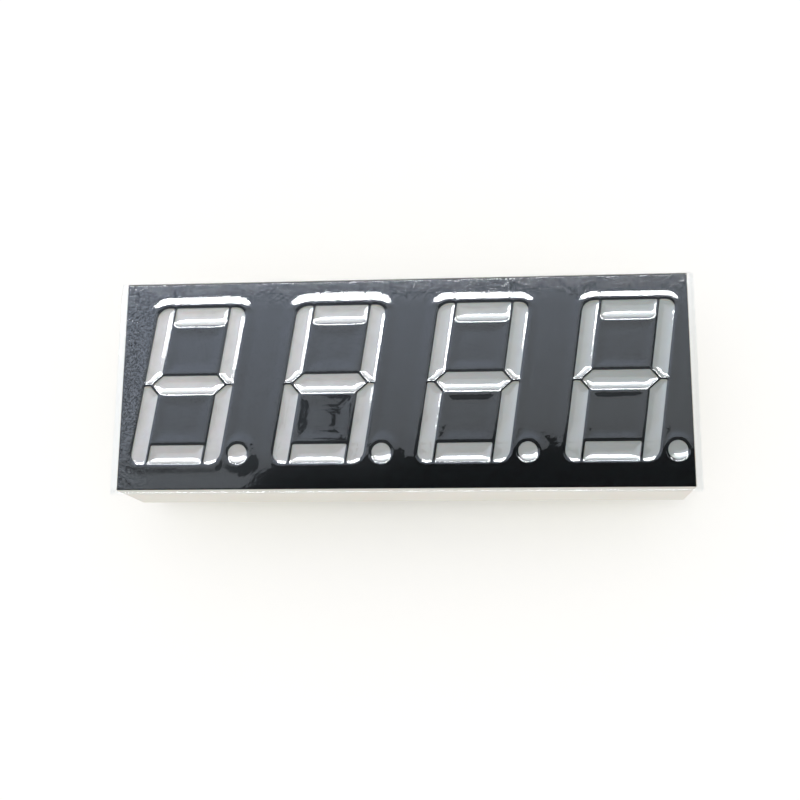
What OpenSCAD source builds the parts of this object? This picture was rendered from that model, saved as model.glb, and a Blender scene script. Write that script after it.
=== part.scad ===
// Four-digit seven segment display module with decimal points and twelve pins.
// The origin is the middle of the pin field, on the plane that the housing's back
// rim seats on. +X runs along the row of digits, +Y to the digits' tops, +Z out of
// the face.

/* [Housing] */
// Distance from one digit to the next
digit_pitch = 12.7; // [10.6:0.1:16]
// Length by which the housing is shorter than its digits' pitches, so that modules can stand side by side
end_relief = 0.5; // [0.4:0.05:1]
// Height of the housing from its back rim to its face
body_height = 8; // [6.6:0.1:12]
// Thickness of the housing's side walls
wall = 0.7; // [0.55:0.05:0.85]
// Depth of the recess in the housing's back, which holds the board
back_recess = 2.2; // [1.9:0.05:2.8]

/* [Digits] */
// Slant of the digits from upright, in degrees
slant = 8; // [0:0.5:10]
// Bare face above and below the digits
face_margin = 2.4; // [2:0.05:3]
// Room between two digits, where the decimal point stands
digit_gap = 4.7; // [4.4:0.05:6]
// Width of an upright segment
upright_width = 1.38; // [1.1:0.02:1.7]
// Height of a level segment
level_height = 1.6; // [1.3:0.05:1.95]
// Black line between two segments
segment_gap = 0.24; // [0.18:0.01:0.3]
// How far the inner corner of an upright segment is cut back for the middle segment
mitre = 0.83; // [0.7:0.01:1]
// Rounding of a digit's four outer corners
outer_radius = 0.9; // [0.5:0.05:1]
// Rounding of the lower corners of the top segment
top_segment_radius = 0.5; // [0.3:0.05:0.6]
// Rounding of all the other corners
small_radius = 0.12; // [0.08:0.01:0.16]
// Radius of the decimal point
point_radius = 0.83; // [0.7:0.01:0.95]
// Face between the lower right segment and the decimal point
point_clearance = 0.7; // [0.5:0.05:0.8]

/* [Light wells] */
// Length of a well's opening on the board
well_foot_length = 2.2; // [1.9:0.05:2.8]
// Width of a well's opening on the board
well_foot_width = 1.2; // [1:0.05:1.35]
// Radius of the decimal point's opening on the board
point_foot_radius = 0.6; // [0.58:0.01:0.65]
// How far the epoxy's edge lies below the face
fill_drop = 0.12; // [0.08:0.01:0.2]
// How far the middle of the epoxy's hollow top lies below its edge
fill_sag = 0.12; // [0.06:0.01:0.2]

/* [Circuit board] */
// Thickness of the circuit board
board_thickness = 1; // [0.8:0.05:1.2]
// Gap between the board's edge and the housing
board_clearance = 0.15; // [0.1:0.01:0.2]
// How far the potting lies inside the housing's back rim
potting_inset = 0.3; // [0.2:0.05:0.4]

/* [Pins] */
// Distance between the two rows of pins
row_spacing = 15.24; // [12.7:0.01:18.3]
// Distance from a row of pins to the housing's side
row_inset = 1.88; // [1.7:0.01:2.2]
// Distance from one pin to the next in a row
pin_pitch = 2.54; // [2:0.01:3.1]
// Diameter of a pin
pin_diameter = 0.5; // [0.4:0.01:0.6]
// Side of the square that a pin is coined to where the board holds it
pin_held_side = 0.44; // [0.36:0.01:0.5]
// Length of a pin below the housing's back rim
pin_length = 6; // [3:0.5:12]
// Height of a pin's top above the board
pin_head = 0.4; // [0.3:0.05:0.5]
// Gap round a pin's corners in the board
pin_hole_clearance = 0.02; // [0.01:0.01:0.05]
// Gap round and over a pin's top in the housing
pin_pocket_clearance = 0.16; // [0.1:0.01:0.18]
// Height of a solder joint under the board
solder_height = 0.5; // [0.4:0.05:0.6]
// Width of a solder joint's ring round its pin, on the board
solder_reach = 0.4; // [0.3:0.05:0.45]
// Width of a solder joint's ring round its pin, at its thin end
solder_lip = 0.04; // [0.02:0.01:0.06]

/* [Light chips] */
// Side of a light chip
die_side = 0.3; // [0.25:0.01:0.33]
// Height of a light chip
die_height = 0.2; // [0.15:0.01:0.24]
// Distance between the two ends of a bond wire
wire_span = 0.5; // [0.45:0.01:0.55]
// Height of a bond wire's loop above its chip
wire_rise = 0.22; // [0.15:0.01:0.3]
// Thickness of a bond wire
wire_thickness = 0.04; // [0.03:0.005:0.05]

/* [Protective film] */
// Thickness of the protective film
film_thickness = 0.08; // [0.05:0.01:0.15]
// How far the film overhangs each end of the housing
film_end_overhang = 0.55; // [0.2:0.05:0.8]
// How far the film overhangs the housing's front side
film_front_overhang = 0.35; // [0.1:0.05:0.6]

/* [Hidden] */
DIGITS = 4;
SEGMENTS = ["a", "b", "c", "d", "e", "f", "g"];
PINS = 12;
PINS_A_ROW = PINS / 2;
ARC_STEPS = 4;
CUT_OVER = 0.5;
HAIR = 0.001; // overlap that keeps a cut from leaving a skin
TIP_SHARE = 0.6; // the chamfer at a pin's tip against its radius
PIN_SIDES = 32; // facets round pins and solder
POINT_SIDES = 48; // facets round decimal points
HOLLOW_SIDES = 96; // facets of the hollow tops of the epoxy

body_length = DIGITS * digit_pitch - end_relief;
body_width = row_spacing + 2 * row_inset;
recess_length = body_length - 2 * wall;
recess_width = body_width - 2 * wall;
board_top = back_recess;
board_bottom = back_recess - board_thickness;

// One digit, drawn upright round its middle: x_out, x_in and y_out are the outer
// and inner faces of its uprights and its upper edge.
x_out = (digit_pitch - digit_gap) / 2;
x_in = x_out - upright_width;
y_out = body_width / 2 - face_margin;
level_half = x_in - segment_gap;
middle_gap = segment_gap / 2;
mitre_line = x_in + mitre + middle_gap;
middle_tip = mitre_line - segment_gap * sqrt(2);
point_place = [x_out + point_clearance + point_radius, point_radius - y_out];

fill_edge = body_height - fill_drop;
pin_radius = pin_diameter / 2;
pin_top = board_top + pin_head;
pin_tip_chamfer = pin_radius * TIP_SHARE;
held_corner = pin_held_side / sqrt(2);
solder_radius = held_corner + solder_reach;

// ---- plane geometry -------------------------------------------------------

function unit(v) = v / norm(v);
function slanted(p) = [p.x + p.y * tan(slant), p.y];
function flipped(points) = [for (i = [len(points) - 1:-1:0]) points[i]];
function upside_down(points) = flipped([for (p = points) [p.x, -p.y]]);
function left_right(points) = flipped([for (p = points) [-p.x, p.y]]);

// The arc that rounds the corner at b, on the way from a to c.
function rounded_corner(a, b, c, r) =
    let (u = unit(a - b),
         v = unit(c - b),
         half = acos(u * v) / 2,
         middle = b + unit(u + v) * r / sin(half),
         first = b + u * r / tan(half) - middle,
         last = b + v * r / tan(half) - middle,
         start = atan2(first.y, first.x),
         turn = (atan2(last.y, last.x) - start + 540) % 360 - 180)
    [for (i = [0:ARC_STEPS])
        let (angle = start + turn * i / ARC_STEPS)
        middle + r * [cos(angle), sin(angle)]];

function rounded(points, radii) =
    let (n = len(points))
    [for (i = [0:n - 1])
        each rounded_corner(points[(i + n - 1) % n], points[i], points[(i + 1) % n], radii[i])];

// ---- segments, anticlockwise, as the digit stands before it is slanted ------

function top_segment() =
    let (y_low = y_out - level_height)
    rounded([[-level_half, y_low], [level_half, y_low], [level_half, y_out], [-level_half, y_out]],
            [top_segment_radius, top_segment_radius, small_radius, small_radius]);

function bottom_segment() =
    let (y_high = level_height - y_out)
    rounded([[-level_half, -y_out], [level_half, -y_out], [level_half, y_high], [-level_half, y_high]],
            [small_radius, small_radius, small_radius, small_radius]);

function middle_segment() =
    let (half = level_height / 2,
         shoulder = middle_tip - half)
    rounded([[-middle_tip, 0], [-shoulder, -half], [shoulder, -half],
             [middle_tip, 0], [shoulder, half], [-shoulder, half]],
            [small_radius, small_radius, small_radius, small_radius, small_radius, small_radius]);

function upper_right_segment() =
    rounded([[x_in + mitre, middle_gap], [x_out, middle_gap], [x_out, y_out],
             [x_in, y_out], [x_in, middle_gap + mitre]],
            [small_radius, small_radius, outer_radius, small_radius, small_radius]);

function outline(segment) =
    segment == "a" ? top_segment() :
    segment == "b" ? upper_right_segment() :
    segment == "c" ? upside_down(upper_right_segment()) :
    segment == "d" ? bottom_segment() :
    segment == "e" ? left_right(upside_down(upper_right_segment())) :
    segment == "f" ? left_right(upper_right_segment()) :
    middle_segment();

function is_level(segment) = segment == "a" || segment == "d" || segment == "g";

function middle_of(segment) =
    segment == "a" ? [0, y_out - level_height / 2] :
    segment == "d" ? [0, level_height / 2 - y_out] :
    segment == "g" ? [0, 0] :
    [(segment == "b" || segment == "c" ? 1 : -1) * (x_in + x_out) / 2,
     (segment == "b" || segment == "f" ? 1 : -1) * (y_out + middle_gap) / 2];

function size_of(segment) =
    is_level(segment) ? [2 * (segment == "g" ? middle_tip : level_half), level_height]
                      : [upright_width, y_out - middle_gap];

// The well's opening on the board: the window's outline, drawn in towards its middle.
function foot(segment) =
    let (c = middle_of(segment),
         s = size_of(segment),
         f = is_level(segment) ? [well_foot_length, well_foot_width]
                               : [well_foot_width, well_foot_length])
    [for (p = outline(segment)) [c.x + (p.x - c.x) * f.x / s.x, c.y + (p.y - c.y) * f.y / s.y]];

// ---- where things stand ----------------------------------------------------

function digit_x(digit) = (digit - (DIGITS + 1) / 2) * digit_pitch;

// Pins 1 to 6 run along the front row from the left, and 7 to 12 back along the rear row.
function pin_place(pin) =
    let (front = pin <= PINS_A_ROW,
         step = front ? pin : PINS + 1 - pin)
    [(step - (PINS_A_ROW + 1) / 2) * pin_pitch, (front ? -1 : 1) * row_spacing / 2];

module at_digit(digit) {
    translate([digit_x(digit), 0, 0]) children();
}

module at_segment(segment) {
    place = slanted(middle_of(segment));
    translate([place.x, place.y, 0])
        rotate([0, 0, is_level(segment) ? 0 : 90 - slant])
            children();
}

module at_point() {
    place = slanted(point_place);
    translate([place.x, place.y, 0]) rotate([0, 0, 90]) children();
}

module at_each_pin() {
    for (pin = [1:PINS]) translate(pin_place(pin)) children();
}

module block(length, width, z_low, z_high) {
    translate([-length / 2, -width / 2, z_low]) cube([length, width, z_high - z_low]);
}

// ---- light wells -----------------------------------------------------------

function ring(points, z) = [for (p = points) [slanted(p).x, slanted(p).y, z]];

// A solid through rings of points, lowest first, each anticlockwise from above.
module loft(rings) {
    n = len(rings[0]);
    last = len(rings) - 1;
    sides = [for (j = [0:last - 1], i = [0:n - 1])
        let (low = j * n, high = low + n, next = (i + 1) % n)
        each [[low + i, high + i, high + next], [low + i, high + next, low + next]]];
    polyhedron(
        points = [for (points = rings) each points],
        faces = concat([[for (i = [0:n - 1]) i]], sides, [[for (i = [n - 1:-1:0]) last * n + i]]));
}

module segment_well(segment) {
    loft([ring(foot(segment), board_top - CUT_OVER),
          ring(foot(segment), board_top),
          ring(outline(segment), body_height),
          ring(outline(segment), body_height + CUT_OVER)]);
}

module segment_body(segment) {
    loft([ring(foot(segment), board_top), ring(outline(segment), body_height)]);
}

module point_body() {
    translate([0, 0, board_top])
        cylinder(h = body_height - board_top, r1 = point_foot_radius, r2 = point_radius, $fn = POINT_SIDES);
}

module point_well() {
    point_body();
    translate([0, 0, board_top - CUT_OVER]) cylinder(h = 2 * CUT_OVER, r = point_foot_radius, $fn = POINT_SIDES);
    translate([0, 0, body_height - HAIR]) cylinder(h = CUT_OVER, r = point_radius, $fn = POINT_SIDES);
}

// ---- light chips and their wires, along X round a well's middle -------------

module die() {
    translate([-wire_span / 2, 0, board_top])
        block(die_side, die_side, 0, die_height);
}

function wire_arch(offset) =
    let (steps = 8)
    [for (i = [0:steps])
        let (t = i / steps)
        [-(wire_span / 2 + offset) * cos(180 * t),
         die_height * (1 - t) + (wire_rise + offset) * sin(180 * t)]];

module bond_wire() {
    half = wire_thickness / 2;
    translate([0, 0, board_top])
        rotate([90, 0, 0])
            linear_extrude(height = wire_thickness, center = true)
                polygon(concat(wire_arch(half), flipped(wire_arch(-half))));
}

// ---- epoxy in the wells ------------------------------------------------------

function hollow_radius(width) = (width * width / 4 + fill_sag * fill_sag) / (2 * fill_sag);

module hollow_top(length, width) {
    r = hollow_radius(width);
    block(length, length, fill_edge, body_height + CUT_OVER);
    translate([0, 0, fill_edge - fill_sag + r])
        rotate([0, 90, 0])
            cylinder(h = length, r = r, center = true, $fn = HOLLOW_SIDES);
}

module segment_fill(digit, segment) {
    long = 2 * y_out;
    color("lightgray")
        at_digit(digit)
            difference() {
                segment_body(segment);
                at_segment(segment) {
                    hollow_top(long, is_level(segment) ? level_height : upright_width);
                    die();
                    bond_wire();
                }
            }
}

module point_fill(digit) {
    r = hollow_radius(2 * point_radius);
    color("lightgray")
        at_digit(digit)
            at_point()
                difference() {
                    point_body();
                    block(4 * point_radius, 4 * point_radius, fill_edge, body_height + CUT_OVER);
                    translate([0, 0, fill_edge - fill_sag + r]) sphere(r = r, $fn = HOLLOW_SIDES);
                    die();
                    bond_wire();
                }
}

// ---- the other pieces --------------------------------------------------------

module housing() {
    color("ivory")
        difference() {
            block(body_length, body_width, 0, body_height);
            block(recess_length, recess_width, -CUT_OVER, board_top);
            for (digit = [1:DIGITS]) at_digit(digit) {
                for (segment = SEGMENTS) segment_well(segment);
                at_point() point_well();
            }
            at_each_pin()
                translate([0, 0, board_top - CUT_OVER])
                    cylinder(h = CUT_OVER + pin_head + pin_pocket_clearance,
                             r = held_corner + pin_pocket_clearance, $fn = PIN_SIDES);
        }
}

module circuit_board() {
    color("darkgreen")
        difference() {
            board_block();
            at_each_pin()
                translate([0, 0, board_bottom - CUT_OVER])
                    cylinder(h = board_thickness + 2 * CUT_OVER,
                             r = held_corner + pin_hole_clearance, $fn = PIN_SIDES);
        }
}

module board_block() {
    block(recess_length - 2 * board_clearance, recess_width - 2 * board_clearance,
          board_bottom, board_top);
}

module pin(number) {
    color("silver") translate(pin_place(number)) pin_body();
}

// A round wire up to the housing's back rim, coined square from there to its top.
module pin_body() {
    block(pin_held_side, pin_held_side, 0, pin_top);
    translate([0, 0, pin_tip_chamfer - pin_length])
        cylinder(h = pin_length - pin_tip_chamfer, r = pin_radius, $fn = PIN_SIDES);
    translate([0, 0, -pin_length])
        cylinder(h = pin_tip_chamfer, r1 = pin_radius - pin_tip_chamfer / 2, r2 = pin_radius, $fn = PIN_SIDES);
}

module solder_cone() {
    translate([0, 0, board_bottom - solder_height])
        cylinder(h = solder_height, r1 = held_corner + solder_lip, r2 = solder_radius, $fn = PIN_SIDES);
}

module solder_joints() {
    color("gainsboro")
        at_each_pin()
            difference() {
                solder_cone();
                pin_body();
            }
}

module back_potting() {
    color("whitesmoke")
        difference() {
            block(recess_length, recess_width, potting_inset, board_top);
            board_block();
            at_each_pin() {
                solder_cone();
                pin_body();
            }
        }
}

module led_dies(digit) {
    color("gold")
        at_digit(digit) {
            for (segment = SEGMENTS) at_segment(segment) die();
            at_point() die();
        }
}

module bond_wires(digit) {
    color("goldenrod")
        at_digit(digit) {
            for (segment = SEGMENTS) at_segment(segment) bond_wire();
            at_point() bond_wire();
        }
}

module protective_film() {
    length = body_length + 2 * film_end_overhang;
    color([0.75, 0.8, 0.85, 0.35])
        translate([-length / 2, -body_width / 2 - film_front_overhang, body_height])
            cube([length, body_width + film_front_overhang, film_thickness]);
}

// ---- nodes -------------------------------------------------------------------

function segment_name(digit, segment) = str("digit", digit, "_segment_", segment);
function point_name(digit) = str("digit", digit, "_decimal_point");
function dies_name(digit) = str("digit", digit, "_led_dies");
function wires_name(digit) = str("digit", digit, "_bond_wires");
function pin_name(number) = str("pin_", number);

housing();
protective_film();
circuit_board();
back_potting();
solder_joints();
for (number = [1:PINS])
    pin(number);
for (digit = [1:DIGITS], segment = SEGMENTS)
    segment_fill(digit, segment);
for (digit = [1:DIGITS]) {
    point_fill(digit);
    led_dies(digit);
    bond_wires(digit);
}
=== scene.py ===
import math

import bmesh
import bpy
import numpy as np
from mathutils import Matrix, Vector
from mathutils.bvhtree import BVHTree


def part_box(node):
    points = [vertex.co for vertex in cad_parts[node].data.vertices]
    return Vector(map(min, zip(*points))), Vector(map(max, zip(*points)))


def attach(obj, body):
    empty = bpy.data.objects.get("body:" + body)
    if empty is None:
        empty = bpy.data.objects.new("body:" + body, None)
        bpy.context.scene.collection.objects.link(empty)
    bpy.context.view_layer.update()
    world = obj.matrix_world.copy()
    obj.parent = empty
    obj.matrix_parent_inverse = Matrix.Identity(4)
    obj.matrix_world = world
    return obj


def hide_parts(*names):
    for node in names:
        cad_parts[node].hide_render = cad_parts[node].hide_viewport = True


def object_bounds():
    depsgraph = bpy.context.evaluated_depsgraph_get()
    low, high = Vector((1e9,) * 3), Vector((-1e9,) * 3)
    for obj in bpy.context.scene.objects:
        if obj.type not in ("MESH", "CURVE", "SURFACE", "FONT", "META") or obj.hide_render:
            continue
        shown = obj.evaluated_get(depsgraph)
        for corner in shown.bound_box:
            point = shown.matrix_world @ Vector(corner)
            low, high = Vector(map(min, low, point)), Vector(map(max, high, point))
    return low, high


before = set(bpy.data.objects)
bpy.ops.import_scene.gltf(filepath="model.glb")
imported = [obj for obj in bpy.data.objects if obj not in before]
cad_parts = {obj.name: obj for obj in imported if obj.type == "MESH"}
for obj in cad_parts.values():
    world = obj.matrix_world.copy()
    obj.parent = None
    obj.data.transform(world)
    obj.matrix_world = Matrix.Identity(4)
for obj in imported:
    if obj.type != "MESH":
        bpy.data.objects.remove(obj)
cad_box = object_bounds()

MM = 0.001
DIGITS = range(1, 5)
PINS = range(1, 13)
SEGMENTS = "abcdefg"
SLANT = math.radians(8)

# Places and sizes from the frame, in millimetres.
HOUSING_LOW, HOUSING_HIGH = (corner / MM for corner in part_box("housing"))
FILM_LOW, FILM_HIGH = (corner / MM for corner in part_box("protective_film"))
POTTING_LOW, POTTING_HIGH = (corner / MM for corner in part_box("back_potting"))
FILL_EDGE = (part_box("digit1_segment_a")[1] / MM).z
FACE = HOUSING_HIGH.z

# Two places closer than this, in millimetres, count as the same.
SAME_PLACE = 0.01

# A light well is at least this far in from the housing's outer walls.
WALL_MARGIN = 0.3

# The film as it lies over the face.
FILM_THICKNESS = 0.045
FILM_LIFT = 0.055
RIM_HEIGHT = 0.065
RIM_WIDTH = 0.22
RIM_FADE = 0.9
TOP_LIFTS = (1.05, 1.3, 0.95, 0.8)
TOP_FADES = (1.0, 1.3, 0.95, 0.75)
DISH_EDGE = -0.02
DISH_SAG = 0.13
DISH_REACH = 0.7
SIDE_LIFT = 0.5
POINT_LIFT = 0.5
POINT_SPREAD = 1.7
TOP_START = 6.6
CORNER_FROM_MIDDLE = 2.62
CORNER_DIP = 0.25
CORNER_WIDTH = 0.3
LOW_BAR_START = -5.4
LOW_BAR_SAG = 0.3
END_DROOP = 0.35
FRONT_DROOP = 0.6

# The lower ends of the uprights are calm, with hollows this share shallower than elsewhere.
CALM_SHARE = 0.8
CALM_START = -3.6
CALM_LENGTH = 2.6
UPRIGHT_INNER = 2.5
UPRIGHT_OUTER = 4.1

# The hollow tops of the cast epoxy.
FILL_CUTS = 0.13
FILL_SAG = 0.115
BAR_HALF_WIDTH = 0.8
UPRIGHT_HALF_WIDTH = 0.69
POINT_HALF_WIDTH = 0.82

# The housing's outer edges.
EDGE_ROUNDING = 0.14

# The pins and the back, which the nodes' boxes don't give.
PIN_RADIUS = 0.25
PIN_CHAMFER = 0.1
PIN_HELD_SIDE = 0.44
PIN_SIDES = 32
SOLDER_TIP = 0.351
SOLDER_STEPS = 8
POTTING_CLIMB = 0.2
POTTING_CUTS = 0.25
POTTING_GAP = 0.01


# ---- small helpers -----------------------------------------------------------

def only(piece):
    """Selects one piece and makes it the active one."""
    bpy.ops.object.select_all(action="DESELECT")
    piece.select_set(True)
    bpy.context.view_layer.objects.active = piece


def new_from_primitive(name, add, **values):
    bpy.ops.object.select_all(action="DESELECT")
    add(**values)
    piece = bpy.context.active_object
    piece.name = piece.data.name = name
    bpy.ops.object.transform_apply(location=True, rotation=True, scale=True)
    return piece


def merged_copy(node, name):
    """A copy of a CAD node's mesh with its loose triangles joined."""
    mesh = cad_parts[node].data.copy()
    mesh.name = name
    piece = bpy.data.objects.new(name, mesh)
    bpy.context.scene.collection.objects.link(piece)
    mesh.materials.clear()
    only(piece)
    bpy.ops.object.mode_set(mode="EDIT")
    bpy.ops.mesh.select_all(action="SELECT")
    bpy.ops.mesh.remove_doubles(threshold=0.0005 * MM)
    bpy.ops.object.mode_set(mode="OBJECT")
    if mesh.has_custom_normals:
        bpy.ops.mesh.customdata_custom_splitnormals_clear()
    return piece


def coordinates(piece):
    places = np.empty(len(piece.data.vertices) * 3)
    piece.data.vertices.foreach_get("co", places)
    return places.reshape(-1, 3) / MM


def set_coordinates(piece, places):
    piece.data.vertices.foreach_set("co", (places * MM).ravel())
    piece.data.update()


def select_faces(piece, wanted):
    """Selects the faces for which wanted(centre in mm, normal) is true, in face mode."""
    bpy.ops.object.mode_set(mode="OBJECT")
    bpy.context.tool_settings.mesh_select_mode = (False, False, True)
    for v in piece.data.vertices:
        v.select = False
    for e in piece.data.edges:
        e.select = False
    for f in piece.data.polygons:
        f.select = wanted(f.center / MM, f.normal)
    bpy.ops.object.mode_set(mode="EDIT")


def select_edges(piece, wanted):
    """Selects the edges for which wanted(end in mm, other end in mm) is true, in edge mode."""
    bpy.ops.object.mode_set(mode="OBJECT")
    bpy.context.tool_settings.mesh_select_mode = (False, True, False)
    corners = [v.co / MM for v in piece.data.vertices]
    for f in piece.data.polygons:
        f.select = False
    for v in piece.data.vertices:
        v.select = False
    for e in piece.data.edges:
        e.select = wanted(corners[e.vertices[0]], corners[e.vertices[1]])
    bpy.ops.object.mode_set(mode="EDIT")


def smooth_by_angle(piece, degrees):
    only(piece)
    bpy.ops.object.shade_smooth_by_angle(angle=math.radians(degrees))


def digit_middles():
    boxes = [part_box(f"digit{digit}_segment_g") for digit in DIGITS]
    return [(low.x + high.x) / 2 / MM for low, high in boxes]


def smoothstep(x):
    x = np.clip(x, 0, 1)
    return x * x * (3 - 2 * x)


def each_once(items):
    """The items without repeats, always in the same order, which a set would not keep."""
    return list(dict.fromkeys(items))


def place_piece(piece, slot, *nodes):
    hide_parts(*nodes)
    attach(piece, "root")


# ---- materials ----------------------------------------------------------------

def new_material(name):
    material = bpy.data.materials.new(name)
    material.use_nodes = True
    tree = material.node_tree
    tree.nodes.clear()
    return material, tree


def add_node(tree, kind, inputs=None, **settings):
    """Adds a node, sets its settings, and sets or links its inputs."""
    node = tree.nodes.new("ShaderNode" + kind)
    for key, value in settings.items():
        setattr(node, key, value)
    for key, value in (inputs or {}).items():
        if isinstance(value, bpy.types.NodeSocket):
            tree.links.new(value, node.inputs[key])
        else:
            node.inputs[key].default_value = value
    return node


def finish_material(tree, surface):
    add_node(tree, "OutputMaterial", {"Surface": surface})


def object_place(tree):
    return add_node(tree, "TexCoord").outputs["Object"]


def noise(tree, per_mm, detail=2.0, roughness=0.5, place=None):
    node = add_node(tree, "TexNoise",
                    {"Vector": place or object_place(tree), "Scale": per_mm / MM,
                     "Detail": detail, "Roughness": roughness})
    return node.outputs["Fac"]


def between(tree, value, low, high, to_low=0.0, to_high=1.0):
    node = add_node(tree, "MapRange",
                    {"Value": value, "From Min": low, "From Max": high,
                     "To Min": to_low, "To Max": to_high}, interpolation_type="SMOOTHSTEP")
    return node.outputs["Result"]


def maths(tree, operation, first, second=0.0):
    return add_node(tree, "Math", {0: first, 1: second}, operation=operation).outputs[0]


def blend_colours(tree, share, first, second):
    node = add_node(tree, "Mix", {"Factor": share, 6: first, 7: second}, data_type="RGBA")
    return node.outputs[2]


def bump(tree, height, depth_mm, normal=None):
    inputs = {"Height": height, "Strength": 1.0, "Distance": depth_mm * MM}
    if normal is not None:
        inputs["Normal"] = normal
    return add_node(tree, "Bump", inputs).outputs["Normal"]


def cream_plastic():
    material, tree = new_material("cream_moulding")
    tone = between(tree, noise(tree, 0.1, 2), 0.3, 0.7)
    colour = blend_colours(tree, tone, (0.755, 0.727, 0.658, 1), (0.785, 0.76, 0.695, 1))
    grain = bump(tree, noise(tree, 9, 3), 0.004)
    shader = add_node(tree, "BsdfPrincipled",
                      {"Base Color": colour, "Roughness": 0.42, "Normal": grain,
                       "Subsurface Weight": 0.15, "Subsurface Scale": 0.6 * MM})
    finish_material(tree, shader.outputs[0])
    return material


def black_ink():
    material, tree = new_material("printed_black_face")
    tone = between(tree, noise(tree, 1.5, 4), 0.35, 0.7)
    colour = blend_colours(tree, tone, (0.006, 0.006, 0.007, 1), (0.009, 0.012, 0.013, 1))
    grain = bump(tree, noise(tree, 6, 3), 0.0012)
    shader = add_node(tree, "BsdfPrincipled",
                      {"Base Color": colour, "Roughness": 0.12, "Normal": grain})
    finish_material(tree, shader.outputs[0])
    return material


def milky_epoxy():
    material, tree = new_material("milky_epoxy")
    place = object_place(tree)
    spot = add_node(tree, "SeparateXYZ", {"Vector": place})
    # Partly painted light: the epoxy is painted much lighter at the left than at the right, standing in
    # for light that falls unevenly across the digits; the pinkish-to-greenish tint is its own tone.
    side = between(tree, spot.outputs["X"], -24 * MM, 24 * MM)
    # Painted light: the epoxy is painted paler towards the top, where light from behind falls on it.
    painted_top_light = between(tree, spot.outputs["Y"], -7 * MM, 7 * MM, 0.97, 1.15)
    base = blend_colours(tree, side, (0.75, 0.715, 0.71, 1), (0.50, 0.515, 0.51, 1))
    base = add_node(tree, "VectorMath", {0: base, "Scale": painted_top_light}, operation="SCALE").outputs[0]
    cloud = between(tree, noise(tree, 1.2, 4, place=place), 0.35, 0.75)
    colour = blend_colours(tree, maths(tree, "MULTIPLY", cloud, 0.25), base, (0.50, 0.49, 0.48, 1))
    grain = bump(tree, noise(tree, 3, 2, place=place), 0.003)
    shader = add_node(tree, "BsdfPrincipled",
                      {"Base Color": colour, "Roughness": 0.12, "Normal": grain,
                       "Subsurface Weight": 0.2, "Subsurface Scale": 0.5 * MM})
    finish_material(tree, shader.outputs[0])
    return material


def clear_film():
    material, tree = new_material("clear_film")
    place = object_place(tree)
    spot = add_node(tree, "SeparateXYZ", {"Vector": place})
    by_back = between(tree, spot.outputs["Y"], 6.2 * MM, 8.8 * MM)
    by_left = between(tree, spot.outputs["X"], -21.3 * MM, -24.2 * MM)
    rough_and_glinting_edge = maths(tree, "MAXIMUM", by_back, by_left)
    fine = maths(tree, "MULTIPLY", noise(tree, 5, 2, 0.6, place), rough_and_glinting_edge)
    grain = bump(tree, fine, 0.014)
    mottle = bump(tree, noise(tree, 1.6, 2, 0.5, place), 0.0035, grain)
    normal = bump(tree, noise(tree, 0.3, 2, 0.5, place), 0.014, mottle)
    facing = add_node(tree, "LayerWeight", {"Normal": normal}).outputs["Facing"]
    rise = maths(tree, "POWER", facing, 5.0)
    # Painted reflection: along the back and left edges the film's mirror share is raised and lowered in
    # speckles, so it glints brighter and dimmer in spots; the grain bump there is real roughness.
    speck = between(tree, noise(tree, 5, 2, 0.6, place), 0.36, 0.66, -0.5, 0.95)
    painted_reflection_speckle = maths(tree, "ADD", maths(tree, "MULTIPLY", speck, rough_and_glinting_edge), 1.0)
    share = maths(tree, "ADD", maths(tree, "MULTIPLY", rise, 0.95), 0.045)
    share = maths(tree, "MULTIPLY", share, painted_reflection_speckle)
    clear = add_node(tree, "BsdfTransparent", {"Color": (0.97, 0.98, 0.985, 1)})
    gloss = add_node(tree, "BsdfAnisotropic",
                     {"Color": (1, 1, 1, 1), "Roughness": 0.035, "Normal": normal})
    shader = add_node(tree, "MixShader", {0: share, 1: clear.outputs[0], 2: gloss.outputs[0]})
    finish_material(tree, shader.outputs[0])
    return material


def tinned_metal(name, roughness, colour=(0.78, 0.78, 0.76)):
    """Bright metal with faint draw lines along z and a little dulling in patches."""
    material, tree = new_material(name)
    place = object_place(tree)
    stretched = add_node(tree, "Mapping", {"Vector": place, "Scale": (1, 1, 0.08)}).outputs["Vector"]
    lines = noise(tree, 25, 3, 0.6, stretched)
    dull = between(tree, noise(tree, 1.5, 3, 0.5, place), 0.35, 0.7)
    shade = blend_colours(tree, dull, (*colour, 1), tuple(0.9 * part for part in colour) + (1,))
    rough = maths(tree, "ADD", maths(tree, "MULTIPLY", dull, 0.14), roughness)
    shader = add_node(tree, "BsdfPrincipled",
                      {"Base Color": shade, "Metallic": 1.0, "Roughness": rough,
                       "Normal": bump(tree, lines, 0.0015)})
    finish_material(tree, shader.outputs[0])
    return material


def cloudy_epoxy():
    """Honey-tinted potting, clear enough to show the board and solder below its skin."""
    material, tree = new_material("cloudy_epoxy")
    place = object_place(tree)
    cloud = between(tree, noise(tree, 0.25, 3, 0.5, place), 0.3, 0.75)
    colour = blend_colours(tree, cloud, (0.72, 0.70, 0.60, 1), (0.80, 0.78, 0.70, 1))
    normal = bump(tree, noise(tree, 0.6, 2, 0.5, place), 0.02)
    skin = add_node(tree, "BsdfPrincipled",
                    {"Base Color": colour, "Roughness": 0.12, "Normal": normal})
    clear = add_node(tree, "BsdfTransparent", {"Color": (0.95, 0.93, 0.86, 1)})
    share = between(tree, cloud, 0, 1, 0.1, 0.24)
    mixed = add_node(tree, "MixShader", {0: share, 1: clear.outputs[0], 2: skin.outputs[0]})
    finish_material(tree, mixed.outputs[0])
    return material


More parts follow.
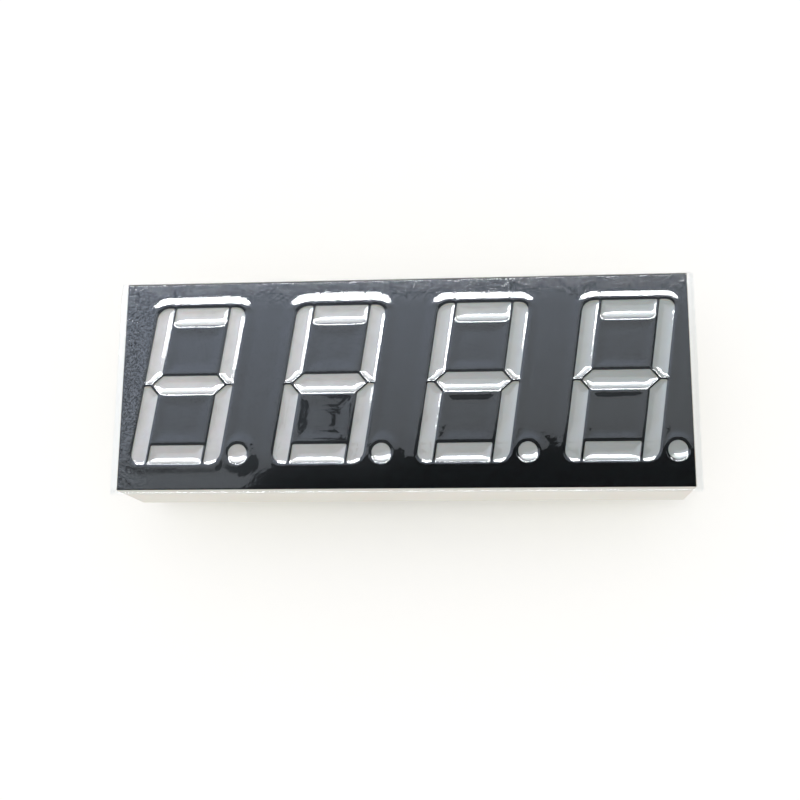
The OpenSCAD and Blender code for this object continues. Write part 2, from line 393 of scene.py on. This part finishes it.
def board_laminate():
    """Green mask over copper tracks on a glass laminate."""
    material, tree = new_material("board_laminate")
    place = object_place(tree)
    cells = add_node(tree, "TexVoronoi", {"Vector": place, "Scale": 0.45 / MM, "Randomness": 0.85},
                     feature="DISTANCE_TO_EDGE").outputs["Distance"]
    track = between(tree, cells, 0.06, 0.11, 1.0, 0.0)
    weave = add_node(tree, "TexWave", {"Vector": place, "Scale": 0.8 / MM, "Distortion": 0.6},
                     wave_type="BANDS").outputs["Fac"]
    mask = blend_colours(tree, track, (0.035, 0.16, 0.055, 1), (0.09, 0.30, 0.10, 1))
    shade = blend_colours(tree, maths(tree, "MULTIPLY", weave, 0.2), mask, (0.02, 0.10, 0.04, 1))
    shader = add_node(tree, "BsdfPrincipled",
                      {"Base Color": shade, "Roughness": 0.35, "Normal": bump(tree, track, 0.03)})
    finish_material(tree, shader.outputs[0])
    return material


def light_chips():
    """Small light-emitting chips, pale with darker speckles."""
    material, tree = new_material("light_chip")
    speck = between(tree, noise(tree, 12, 3), 0.4, 0.65)
    colour = blend_colours(tree, speck, (0.75, 0.70, 0.50, 1), (0.45, 0.38, 0.25, 1))
    shader = add_node(tree, "BsdfPrincipled",
                      {"Base Color": colour, "Roughness": 0.3,
                       "Normal": bump(tree, speck, 0.003)})
    finish_material(tree, shader.outputs[0])
    return material


# ---- housing --------------------------------------------------------------------

def on_outer_edge(a, b):
    """True for an edge of the housing's outer block that is to be rounded."""
    def walls(p):
        found = set()
        for axis in "xyz":
            for side, corner in (("low", HOUSING_LOW), ("high", HOUSING_HIGH)):
                if abs(getattr(p, axis) - getattr(corner, axis)) < SAME_PLACE:
                    found.add((axis, side))
        return found
    return len(walls(a) & walls(b)) == 2


def model_housing():
    """The moulding with its light wells, its outer edges slightly rounded."""
    piece = merged_copy("housing", "housing_moulding")
    bpy.ops.object.mode_set(mode="EDIT")
    bpy.ops.mesh.select_all(action="SELECT")
    bpy.ops.mesh.dissolve_limited(angle_limit=math.radians(0.2))
    select_edges(piece, on_outer_edge)
    bpy.ops.mesh.bevel(offset=EDGE_ROUNDING * MM, segments=3, affect="EDGES")
    bpy.ops.mesh.select_all(action="SELECT")
    bpy.ops.mesh.quads_convert_to_tris()
    bpy.ops.object.mode_set(mode="OBJECT")
    smooth_by_angle(piece, 30)
    piece.data.materials.append(cream_plastic())
    piece.data.materials.append(black_ink())
    for f in piece.data.polygons:
        f.use_smooth = max(abs(part) for part in f.normal) < 0.999
        low_corner = min(piece.data.vertices[v].co.z for v in f.vertices) / MM
        f.material_index = 1 if low_corner > FACE - 0.5 * EDGE_ROUNDING else 0
    place_piece(piece, "housing_plastic", "housing")
    return piece


def edges_of_windows(housing):
    """The two ends of each edge that bounds a light well on the face, in millimetres."""
    shape = bmesh.new()
    shape.from_mesh(housing.data)
    ends = []
    for e in shape.edges:
        a, b = (v.co / MM for v in e.verts)
        on_face = min(a.z, b.z) > FACE - SAME_PLACE
        wall = any(f.normal.z < 0.5 for f in e.link_faces)
        inside = all(abs(v.x) < HOUSING_HIGH.x - WALL_MARGIN and
                     abs(v.y) < HOUSING_HIGH.y - WALL_MARGIN for v in (a, b))
        if on_face and wall and inside:
            ends.append((a.x, a.y, b.x, b.y))
    shape.free()
    return np.array(ends)


def distance_to_edges(places, ends):
    """How far each place is, across z, from the nearest of the edges."""
    start, along = ends[:, :2], ends[:, 2:] - ends[:, :2]
    square = (along ** 2).sum(1) + 1e-12
    result = np.empty(len(places))
    for first in range(0, len(places), 4000):
        p = places[first:first + 4000, None, :2]
        share = np.clip(((p - start) * along).sum(2) / square, 0, 1)
        gap = np.linalg.norm(p - start - share[..., None] * along, axis=2)
        result[first:first + 4000] = gap.min(1)
    return result


def over_windows(places, housing):
    """True for each place that has a light well below it."""
    corners = [v.co / MM for v in housing.data.vertices]
    tree = BVHTree.FromPolygons(corners, [f.vertices[:] for f in housing.data.polygons])
    result = np.zeros(len(places), dtype=bool)
    for i, (x, y) in enumerate(places[:, :2]):
        if abs(x) < HOUSING_HIGH.x - 0.5 and abs(y) < HOUSING_HIGH.y - 0.5:
            hit = tree.ray_cast(Vector((x, y, FACE + 1)), Vector((0, 0, -1)))[0]
            result[i] = hit is None or hit.z < FACE - 0.05
    return result


# ---- epoxy in the light wells -------------------------------------------------------

def level_faces(shape):
    return [f for f in shape.faces if all(abs(v.co.z - FILL_EDGE) < 0.001 for v in f.verts)]


def cut_into_squares(shape, faces, spacing):
    """Cuts a flat top, lying across z, into a grid of small squares leaning with the digits."""
    for across in (Vector((1, -math.tan(SLANT), 0)), Vector((0, 1, 0))):
        corners = [v.co.dot(across) for f in faces for v in f.verts]
        low, high = min(corners), max(corners)
        count = round((high - low) / spacing)
        for i in range(1, count):
            place = low + (high - low) * i / count
            parts = each_once(item for f in faces for item in (f, *f.edges, *f.verts))
            bmesh.ops.bisect_plane(shape, geom=parts, dist=0.0005,
                                   plane_co=across * place / across.length_squared, plane_no=across)
            faces = level_faces(shape)
    return faces


def calm_ends(x, y):
    """1 at the lower ends of the uprights, where epoxy and film hollow least, and 0 elsewhere."""
    upright = x - y * math.tan(SLANT)
    from_middle = np.min([abs(upright - middle) for middle in digit_middles()], axis=0)
    past_inner = smoothstep((from_middle - UPRIGHT_INNER) / 0.15)
    past_outer = smoothstep((from_middle - UPRIGHT_OUTER) / 0.2)
    return past_inner * (1 - past_outer) * smoothstep((CALM_START - y) / CALM_LENGTH)


def model_fill(node, half_width, material):
    """A well's epoxy with a hollow top that curves up to the well's edge all round."""
    piece = merged_copy(node, node + "_cast")
    select_faces(piece, lambda centre, normal: centre.z > FILL_EDGE - 0.6 and normal.z > 0.3)
    bpy.ops.mesh.delete(type="FACE")
    bpy.ops.object.mode_set(mode="OBJECT")
    shape = bmesh.new()
    shape.from_mesh(piece.data)
    shape.transform(Matrix.Scale(1 / MM, 4))
    rim = each_once(v for e in shape.edges if e.is_boundary for v in e.verts)
    for v in rim:
        v.co.z = FILL_EDGE
    bmesh.ops.remove_doubles(shape, verts=rim, dist=0.03)
    rim = [e for e in shape.edges if e.is_boundary]
    ends = np.array([[c for v in e.verts for c in v.co.xy] for e in rim])
    top = bmesh.ops.contextual_create(shape, geom=rim)["faces"]
    shape.normal_update()
    if top[0].normal.z < 0:
        top[0].normal_flip()
    top = cut_into_squares(shape, top, FILL_CUTS)
    inner = each_once(v for f in top for v in f.verts)
    spots = np.array([v.co for v in inner])
    share = np.clip(distance_to_edges(spots, ends) / half_width, 0, 1)
    sag = FILL_SAG * (1 - CALM_SHARE * calm_ends(spots[:, 0], spots[:, 1]))
    hollow = sag * (1 - (1 - share) ** 2)
    for v, depth in zip(inner, hollow):
        v.co.z = FILL_EDGE - depth
    shape.transform(Matrix.Scale(MM, 4))
    shape.to_mesh(piece.data)
    shape.free()
    smooth_by_angle(piece, 35)
    piece.data.materials.append(material)
    place_piece(piece, "milky_epoxy", node)
    return piece


def model_fills():
    epoxy = milky_epoxy()
    for digit in DIGITS:
        for segment in SEGMENTS:
            half_width = BAR_HALF_WIDTH if segment in "adg" else UPRIGHT_HALF_WIDTH
            model_fill(f"digit{digit}_segment_{segment}", half_width, epoxy)
        model_fill(f"digit{digit}_decimal_point", POINT_HALF_WIDTH, epoxy)


# ---- protective film -----------------------------------------------------------------

def graded(low, high, spots, fine, coarse, reach):
    """Places from low to high, close together within reach of each spot and wider apart elsewhere."""
    places = [low]
    while places[-1] < high:
        away = min(abs(places[-1] - spot) for spot in spots) - reach
        places.append(places[-1] + fine + (coarse - fine) * float(smoothstep(away / 0.6)))
    stretch = (high - low) / (places[-1] - low)
    return [low + (place - low) * stretch for place in places]


def film_height(places, housing):
    """The height of the film's upper side over the face at each place, in millimetres."""
    x, y = places[:, 0], places[:, 1]
    away = distance_to_edges(places, edges_of_windows(housing))
    away = np.where(over_windows(places, housing), -away, away)
    inside = np.clip(-away, 0, DISH_REACH) / DISH_REACH
    low_bar = 1 + LOW_BAR_SAG * smoothstep((LOW_BAR_START - y) / 0.3)
    sag = DISH_SAG * low_bar * (1 - CALM_SHARE * calm_ends(x, y))
    dish = DISH_EDGE * smoothstep(-away / 0.12) - sag * (1 - (1 - inside) ** 2)
    middles = digit_middles()
    upright = x - y * math.tan(SLANT)
    top_lift = np.interp(upright, middles, TOP_LIFTS)
    for middle in middles:
        for corner in (middle - CORNER_FROM_MIDDLE, middle + CORNER_FROM_MIDDLE):
            top_lift -= CORNER_DIP * np.exp(-((upright - corner) / CORNER_WIDTH) ** 2)
    lift = SIDE_LIFT + (top_lift - SIDE_LIFT) * smoothstep((y - TOP_START) / 0.6)
    for digit in DIGITS:
        low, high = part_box(f"digit{digit}_decimal_point")
        centre = (low + high) / 2 / MM
        square = (x - centre.x) ** 2 + (y - centre.y) ** 2
        lift += POINT_LIFT * np.exp(-square / POINT_SPREAD)
    fade = RIM_FADE * np.interp(upright, middles, TOP_FADES)
    rim = (RIM_HEIGHT * lift * smoothstep(away / RIM_WIDTH)
           * (1 - smoothstep((away - RIM_WIDTH) / fade)))
    height = FILM_LIFT + np.where(away < 0, dish, rim)
    past_end = np.clip(abs(x) - HOUSING_HIGH.x, 0, None)
    past_front = np.clip(HOUSING_LOW.y - y, 0, None)
    return height - END_DROOP * past_end ** 2 - FRONT_DROOP * past_front ** 2


def model_film(housing):
    """The clear film, drawn down into each window, raised round it and drooping past the housing.

    It starts as a grid that leans with the digits, longer than the film, and its ends are cut square.
    """
    fine_columns = [x + spot for x in digit_middles()
                    for spot in (-4, -3.3, -2.6, 2.6, 3.3, 4, 4.7, 6.4)]
    fine_rows = (-7.1, -5.5, -0.6, 0, 0.6, 5.5, 7.1, 8.0)
    spare = 1.6
    columns = graded(FILM_LOW.x - spare, FILM_HIGH.x + spare, fine_columns, 0.1, 0.3, 0.3)
    rows = graded(FILM_LOW.y, FILM_HIGH.y, fine_rows, 0.1, 0.28, 0.35)
    piece = new_from_primitive("protective_film_formed", bpy.ops.mesh.primitive_grid_add,
                               x_subdivisions=len(columns) - 1, y_subdivisions=len(rows) - 1, size=2)
    places = coordinates(piece) * MM
    column = np.rint((places[:, 0] + 1) / 2 * (len(columns) - 1)).astype(int)
    row = np.rint((places[:, 1] + 1) / 2 * (len(rows) - 1)).astype(int)
    places[:, 1] = np.array(rows)[row]
    places[:, 0] = np.array(columns)[column] + places[:, 1] * math.tan(SLANT)
    places[:, 2] = FACE
    set_coordinates(piece, places)
    only(piece)
    for end, side in ((FILM_LOW.x, -1), (FILM_HIGH.x, 1)):
        bpy.ops.object.mode_set(mode="EDIT")
        bpy.ops.mesh.select_all(action="SELECT")
        bpy.ops.mesh.bisect(plane_co=(end * MM, 0, 0), plane_no=(side, 0, 0), clear_outer=True,
                            threshold=0.00001 * MM)
        bpy.ops.object.mode_set(mode="OBJECT")
    places = coordinates(piece)
    places[:, 2] = FACE + film_height(places, housing)
    set_coordinates(piece, places)
    solid = piece.modifiers.new("thickness", "SOLIDIFY")
    solid.thickness = FILM_THICKNESS * MM
    solid.offset = -1
    bpy.ops.object.modifier_apply(modifier=solid.name)
    for f in piece.data.polygons:
        f.use_smooth = True
    piece.data.materials.append(clear_film())
    place_piece(piece, "clear_film", "protective_film")
    return piece


# ---- pins and back ------------------------------------------------------------------

def turned(name, outline, sides):
    """A closed shape spun about z from (radius, height) places, in millimetres."""
    mesh = bpy.data.meshes.new(name)
    mesh.from_pydata([(r * MM, 0, z * MM) for r, z in outline],
                     [(i, i + 1) for i in range(len(outline) - 1)], [])
    piece = bpy.data.objects.new(name, mesh)
    bpy.context.scene.collection.objects.link(piece)
    only(piece)
    bpy.ops.object.mode_set(mode="EDIT")
    bpy.ops.mesh.select_all(action="SELECT")
    bpy.ops.mesh.spin(steps=sides, angle=2 * math.pi, center=(0, 0, 0), axis=(0, 0, 1))
    bpy.ops.mesh.select_all(action="SELECT")
    bpy.ops.mesh.remove_doubles(threshold=0.001 * MM)
    bpy.ops.mesh.normals_make_consistent(inside=False)
    bpy.ops.object.mode_set(mode="OBJECT")
    return piece


def moved_copy(piece, name, x, y):
    """A copy with its own mesh, moved across by x and y millimetres."""
    mesh = piece.data.copy()
    mesh.transform(Matrix.Translation((x * MM, y * MM, 0)))
    copy = bpy.data.objects.new(name, mesh)
    bpy.context.scene.collection.objects.link(copy)
    return copy


def joined(name, pieces):
    only(pieces[0])
    for piece in pieces:
        piece.select_set(True)
    bpy.ops.object.join()
    pieces[0].name = pieces[0].data.name = name
    return pieces[0]


def pin_places():
    """The middle of each pin, across z, in millimetres."""
    boxes = [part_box(f"pin_{number}") for number in PINS]
    return [((low + high) / 2 / MM).xy for low, high in boxes]


def model_pins(places):
    """Round tinned pins with chamfered tips and a squared length held in the housing."""
    low, high = (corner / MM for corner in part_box("pin_1"))
    radius, chamfer = PIN_RADIUS, PIN_CHAMFER
    outline = [(0, low.z), (radius - chamfer, low.z), (radius - chamfer / 3, low.z + chamfer / 3),
               (radius, low.z + chamfer), (radius, -0.02), (radius - 0.02, 0), (0, 0)]
    stem = turned("pin_stem", outline, PIN_SIDES)
    held = new_from_primitive("pin_held", bpy.ops.mesh.primitive_cube_add,
                              size=MM, scale=(PIN_HELD_SIDE, PIN_HELD_SIDE, high.z),
                              location=(0, 0, high.z / 2 * MM))
    bpy.ops.object.mode_set(mode="EDIT")
    bpy.ops.mesh.select_all(action="SELECT")
    bpy.ops.mesh.bevel(offset=0.03 * MM, segments=2, affect="EDGES")
    bpy.ops.object.mode_set(mode="OBJECT")
    pattern = joined("pin_pattern", [stem, held])
    smooth_by_angle(pattern, 35)
    pattern.data.materials.append(tinned_metal("tinned_pin", 0.3))
    for number, (x, y) in zip(PINS, places):
        place_piece(moved_copy(pattern, f"tinned_pin_{number}", x, y), "tinned_pin", f"pin_{number}")
    bpy.data.objects.remove(pattern)


def model_solder(places):
    """A hollow-sided solder cone round each pin, against the board."""
    low, high = (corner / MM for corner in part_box("solder_joints"))
    span = max(p[0] for p in places) - min(p[0] for p in places)
    wide = (high.x - low.x - span) / 2
    side = []
    for i in range(SOLDER_STEPS + 1):
        share = i / SOLDER_STEPS
        radius = wide - (wide - SOLDER_TIP) * math.sin(share * math.pi / 2)
        side.append((radius, high.z - (high.z - low.z) * share ** 1.6))
    cone = turned("solder_cone", [(0, high.z)] + side + [(0, low.z)], PIN_SIDES)
    cones = [moved_copy(cone, f"solder_{i}", x, y) for i, (x, y) in enumerate(places)]
    piece = joined("solder_fillets", cones)
    bpy.data.objects.remove(cone)
    smooth_by_angle(piece, 50)
    piece.data.materials.append(tinned_metal("solder", 0.24))
    place_piece(piece, "solder", "solder_joints")


def model_potting(places):
    """The back's cast epoxy, its skin curling towards the walls and up the pins."""
    low, high = POTTING_LOW, POTTING_HIGH
    width, depth = high.x - low.x, high.y - low.y
    columns, rows = round(width / POTTING_CUTS), round(depth / POTTING_CUTS)
    piece = new_from_primitive("back_potting_cast", bpy.ops.mesh.primitive_grid_add,
                               x_subdivisions=columns, y_subdivisions=rows, size=1)
    skin = coordinates(piece) * MM
    skin[:, 0] = low.x + (skin[:, 0] + 0.5) * width
    skin[:, 1] = low.y + (skin[:, 1] + 0.5) * depth
    wall = np.minimum(np.minimum(skin[:, 0] - low.x, high.x - skin[:, 0]),
                      np.minimum(skin[:, 1] - low.y, high.y - skin[:, 1]))
    climb = POTTING_CLIMB * np.exp(-wall / 0.35)
    for x, y in places:
        away = np.hypot(skin[:, 0] - x, skin[:, 1] - y) - PIN_RADIUS
        climb = np.maximum(climb, POTTING_CLIMB * np.exp(-np.clip(away, 0, None) / 0.22))
    skin[:, 2] = low.z - climb
    set_coordinates(piece, skin)
    only(piece)
    bpy.ops.object.mode_set(mode="EDIT")
    bpy.ops.mesh.select_all(action="SELECT")
    bpy.ops.mesh.flip_normals()
    bpy.ops.object.mode_set(mode="OBJECT")
    solid = piece.modifiers.new("depth", "SOLIDIFY")
    solid.thickness = (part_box("circuit_board")[0].z / MM - low.z - POTTING_GAP) * MM
    solid.offset = -1
    bpy.ops.object.modifier_apply(modifier=solid.name)
    smooth_by_angle(piece, 40)
    piece.data.materials.append(cloudy_epoxy())
    place_piece(piece, "clear_epoxy", "back_potting")


def finish_inner_nodes():
    """Materials for the carried-over board, light chips and wires."""
    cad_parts["circuit_board"].data.materials.append(board_laminate())
    chips = light_chips()
    wires = tinned_metal("gold_wire", 0.2, (1.0, 0.75, 0.35))
    for digit in DIGITS:
        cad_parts[f"digit{digit}_led_dies"].data.materials.append(chips)
        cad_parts[f"digit{digit}_bond_wires"].data.materials.append(wires)


# ---- studio -----------------------------------------------------------------------

CAMERA_PLACE = Vector((9.45, -24.48, 110.16)) * MM
CAMERA_TURN = Vector((12.584, 5.234, 0.420)) * math.radians(1)
FLOOR_LEVEL = cad_box[0].z
FLOOR_SIZE = 3

# The dark card's height in metres, and its outline and its loose patch in millimetres.
CARD_LEVEL = 0.118
CARD_OUTLINE = ((-39, 5), (-35, 10), (-25, 11.5), (-14, 11), (-9, 14.5), (12, 16.5), (35, 15),
                (70, 16), (70, -20), (-38, -20))
CARD_PATCH = ((-26, 23.2), (-19.5, 22.5), (-18.5, 18), (-20, 15.5), (-24, 17.5), (-22, 20.5),
              (-25.5, 21.5))

ROOM_GREY = (0.62, 0.65, 0.68, 1)

# Name, place in metres, turn in degrees, size in metres, radiance, and whether it is only mirrored.
LIGHTS = (
    ("back_strip", (-0.06, 0.136, 0.25), (-28, 0, 0), (0.42, 0.03), 25, True),
    ("back_softbox", (-0.06, 0.208, 0.25), (-28, 0, 0), (0.42, 0.11), 1.8, True),
    ("left_softbox", (-0.285, 0.18, 0.25), (0, 0, -17), (0.19, 0.12), 8, True),
    ("overhead_fill", (-0.04, -0.06, 1.0), (0, 0, 0), (0.24, 0.24), 7.2, False),
)


def make_camera():
    data = bpy.data.cameras.new("camera")
    data.lens = 54
    data.sensor_width = 36
    data.clip_start = 0.005
    data.clip_end = 10
    camera = bpy.data.objects.new("camera", data)
    bpy.context.scene.collection.objects.link(camera)
    camera.location = CAMERA_PLACE
    camera.rotation_euler = CAMERA_TURN
    bpy.context.scene.camera = camera


def make_floor():
    floor = new_from_primitive("floor", bpy.ops.mesh.primitive_plane_add,
                               size=FLOOR_SIZE, location=(0, 0, FLOOR_LEVEL))
    material, tree = new_material("pale_floor")
    shader = add_node(tree, "BsdfPrincipled",
                      {"Base Color": (0.93, 0.93, 0.93, 1), "Roughness": 0.9,
                       "Specular IOR Level": 0.0, "Emission Color": (1, 1, 1, 1),
                       "Emission Strength": 0.18})
    finish_material(tree, shader.outputs[0])
    floor.data.materials.append(material)


def make_card():
    """A dark card over the front of the face, which the glossy face and film mirror."""
    card = new_from_primitive("dark_card", bpy.ops.mesh.primitive_plane_add,
                              size=MM, location=(0, 0, CARD_LEVEL))
    corners = [(x * MM, y * MM, CARD_LEVEL) for x, y in CARD_OUTLINE + CARD_PATCH]
    first = len(CARD_OUTLINE)
    card.data.clear_geometry()
    card.data.from_pydata(corners, [], [range(first), range(first, len(corners))])
    material, tree = new_material("dark_card")
    shader = add_node(tree, "BsdfDiffuse", {"Color": (0.01, 0.01, 0.01, 1)})
    finish_material(tree, shader.outputs[0])
    card.data.materials.append(material)
    card.visible_camera = False
    card.visible_diffuse = False
    card.visible_shadow = False


def make_light(name, place, turn, size, radiance, mirrored):
    """A soft light that either shows in glossy surfaces only or lights dull ones only."""
    data = bpy.data.lights.new(name, "AREA")
    data.shape = "RECTANGLE"
    data.size, data.size_y = size
    data.energy = radiance * math.pi * size[0] * size[1]
    light = bpy.data.objects.new(name, data)
    bpy.context.scene.collection.objects.link(light)
    light.location = place
    light.rotation_euler = [math.radians(angle) for angle in turn]
    light.visible_camera = False
    light.visible_glossy = mirrored
    light.visible_diffuse = not mirrored
    light.visible_transmission = not mirrored


def make_world():
    """A pale room for dull surfaces. Glossy ones mirror it dark in front and bright and blue behind."""
    world = bpy.data.worlds.new("studio")
    bpy.context.scene.world = world
    world.use_nodes = True
    tree = world.node_tree
    tree.nodes.clear()
    way = add_node(tree, "SeparateXYZ", {"Vector": add_node(tree, "TexCoord").outputs["Generated"]})
    rise = maths(tree, "ADD", maths(tree, "ABSOLUTE", way.outputs["Z"]), 0.001)
    back = maths(tree, "DIVIDE", way.outputs["Y"], rise)
    side = maths(tree, "DIVIDE", way.outputs["X"], rise)
    height = maths(tree, "SUBTRACT", back, maths(tree, "MULTIPLY", side, 0.25))
    share = between(tree, height, 0.14, 0.5)
    colour = blend_colours(tree, share, ROOM_GREY, (1.1, 1.22, 1.48, 1))
    level = between(tree, back, 0.9, 2.0)
    colour = blend_colours(tree, level, colour, ROOM_GREY)
    behind = between(tree, back, 0.04, 0.11)
    not_right = between(tree, side, 0.28, 0.5, 1.0, 0.0)
    bright = maths(tree, "MULTIPLY", behind, not_right)
    colour = blend_colours(tree, bright, (0.02, 0.02, 0.02, 1), colour)
    seen = add_node(tree, "Background", {"Color": colour, "Strength": 1.0})
    lit = add_node(tree, "Background", {"Color": (1.0, 0.99, 0.97, 1), "Strength": 0.8})
    glossy = add_node(tree, "LightPath").outputs["Is Glossy Ray"]
    mixed = add_node(tree, "MixShader", {0: glossy, 1: lit.outputs[0], 2: seen.outputs[0]})
    add_node(tree, "OutputWorld", {"Surface": mixed.outputs[0]})


def make_studio():
    make_camera()
    make_floor()
    make_card()
    make_world()
    for light in LIGHTS:
        make_light(*light)
    bpy.context.scene.view_settings.view_transform = "Standard"
    bpy.context.scene.view_settings.look = "None"


housing = model_housing()
model_fills()
model_film(housing)
pins = pin_places()
model_pins(pins)
model_solder(pins)
model_potting(pins)
finish_inner_nodes()
make_studio()
